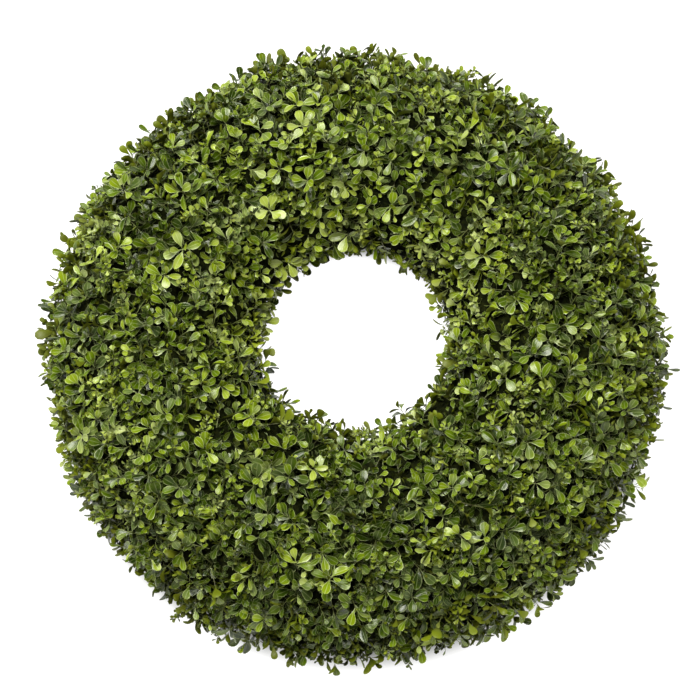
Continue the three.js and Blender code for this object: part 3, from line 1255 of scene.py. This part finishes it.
@dataclass(frozen=True)
class Studio:
    """A glowing pale surface under soft light, seen from almost straight above.

    A ring of painted shadow, where the surface glows less, lies close under the wreath. The pale walls
    light its flanks.
    """

    distance: float = 1.40
    tilt: float = 9.5
    lens: float = 75.3
    shift: Span = (-0.0080, 0.0026)
    floor_size: float = 80.0
    floor_waves: float = 3.0
    floor_shades: Span = (0.14, 0.16)
    floor_glow: float = 1.06
    # The painted shadow ring: its share of the glow and the reaches where it fades in and out.
    shadow: float = 0.22
    shadow_inside: Span = (0.103, 0.112)
    shadow_outside: Span = (0.286, 0.302)
    key: SoftBox = SoftBox("key_light", (-0.34, 0.68, 1.95), 1.10, 113.0, (1.0, 0.995, 0.91))
    fill: SoftBox = SoftBox("fill_light", (0.7, -2.0, 0.65), 1.8, 14.0, (1.0, 1.0, 0.62))
    wall_glow: float = 4.6
    wall_height: float = 0.24
    ceiling_glow: float = 0.04
    wall_tint: Colour = (1.0, 1.0, 0.70)

    def build(self) -> None:
        """Sets up the camera, the surface and the lights."""
        self.camera()
        self.surface()
        self.key.build()
        self.fill.build()
        self.walls()
        settings = bpy.context.scene.view_settings
        settings.view_transform = "Standard"
        settings.look = "None"

    def camera(self) -> None:
        """The camera, level with the photograph's."""
        deselect_all()
        lean = math.radians(self.tilt)
        back = Vector((0.0, -math.sin(lean), math.cos(lean)))
        bpy.ops.object.camera_add(location=TARGET + back * self.distance, rotation=(lean, 0.0, 0.0))
        camera = bpy.context.object
        camera.data.lens = self.lens
        camera.data.shift_x = self.shift[0]
        camera.data.shift_y = self.shift[1]
        bpy.context.scene.camera = camera

    def surface(self) -> None:
        """The pale surface that the wreath lies on."""
        deselect_all()
        bpy.ops.mesh.primitive_plane_add(size=self.floor_size, location=(0, 0, 0))
        floor = bpy.context.object
        floor.name = "pale_surface"
        sheet = ShaderSheet(bpy.data.materials.new("pale surface"))
        place = sheet.object_place()
        dull, clear = ((grey,) * 3 for grey in self.floor_shades)
        shade = sheet.colours(sheet.noise(place, self.floor_waves), {0.3: dull, 0.7: clear})
        reach = sheet.add("VectorMath", {0: place}, operation="LENGTH").outputs["Value"]
        # Painted shadow: the glow dims in a ring under the wreath, outside the hole.
        inside = sheet.ramp(reach, (self.shadow_inside[0], 1.0), (self.shadow_inside[1], self.shadow))
        outside = sheet.ramp(reach, (self.shadow_outside[0], self.shadow), (self.shadow_outside[1], 1.0))
        glow = sheet.maths("MULTIPLY", sheet.maths("MAXIMUM", inside, outside), self.floor_glow)
        shader = sheet.add("BsdfPrincipled", {"Base Color": shade, "Roughness": 0.9,
                                              "Specular IOR Level": 0.1,
                                              "Emission Color": (1.0, 1.0, 1.0),
                                              "Emission Strength": glow})
        floor.data.materials.append(sheet.finish(shader))

    def walls(self) -> None:
        """The light of the pale walls."""
        sheet = ShaderSheet(bpy.data.worlds.new("studio"))
        direction = sheet.add("SeparateXYZ", {0: sheet.add("TexCoord").outputs["Generated"]})
        glow = sheet.ramp(direction.outputs["Z"], (0.0, self.wall_glow),
                          (self.wall_height, self.ceiling_glow))
        light = sheet.add("Background", {"Color": self.wall_tint, "Strength": glow})
        bpy.context.scene.world = sheet.finish(light, "OutputWorld")


class Wreath:
    """The whole wreath: its ring and its bunches."""

    def __init__(self) -> None:
        """Reads the form from the frame and makes the finishes."""
        self.form = WreathForm.from_frame()
        self.leaf = LeafFinish().material()
        self.stem = StemFinish().material()
        self.twigs = ThicketShadeFinish().material()
        self.bark = BarkFinish().material()

    def build(self) -> None:
        """Builds the ring and every bunch."""
        report(VineRing(self.form).build(self.bark))
        masters = {habit.growth: habit.grow_all(self.leaf, self.stem) for habit in HABITS}
        by_bunch: dict[tuple[Belt, int], list[Place]] = {}
        for place in Planting(self.form, np.random.default_rng(SEED)).plan():
            by_bunch.setdefault(self.form.bunch(place.around, place.section), []).append(place)
        for order, belt in enumerate(Belt):
            for number in range(1, belt.count + 1):
                bunch = Bunch(belt, number, self.form, by_bunch.get((belt, number), []),
                              np.random.default_rng([SEED, order, number]))
                report(bunch.build(masters, self.twigs))
        for kind in masters.values():
            for sprig in kind:
                bpy.data.objects.remove(sprig)


def report(piece: Piece) -> None:
    """Logs a finished piece and its triangles."""
    piece.data.calc_loop_triangles()
    log.info("%s: %d triangles", piece.name, len(piece.data.loop_triangles))


def main() -> None:
    """Builds the studio and the wreath."""
    logging.basicConfig(level=logging.INFO, format="%(message)s")
    Studio().build()
    Wreath().build()


if __name__ == "__main__":
    main()
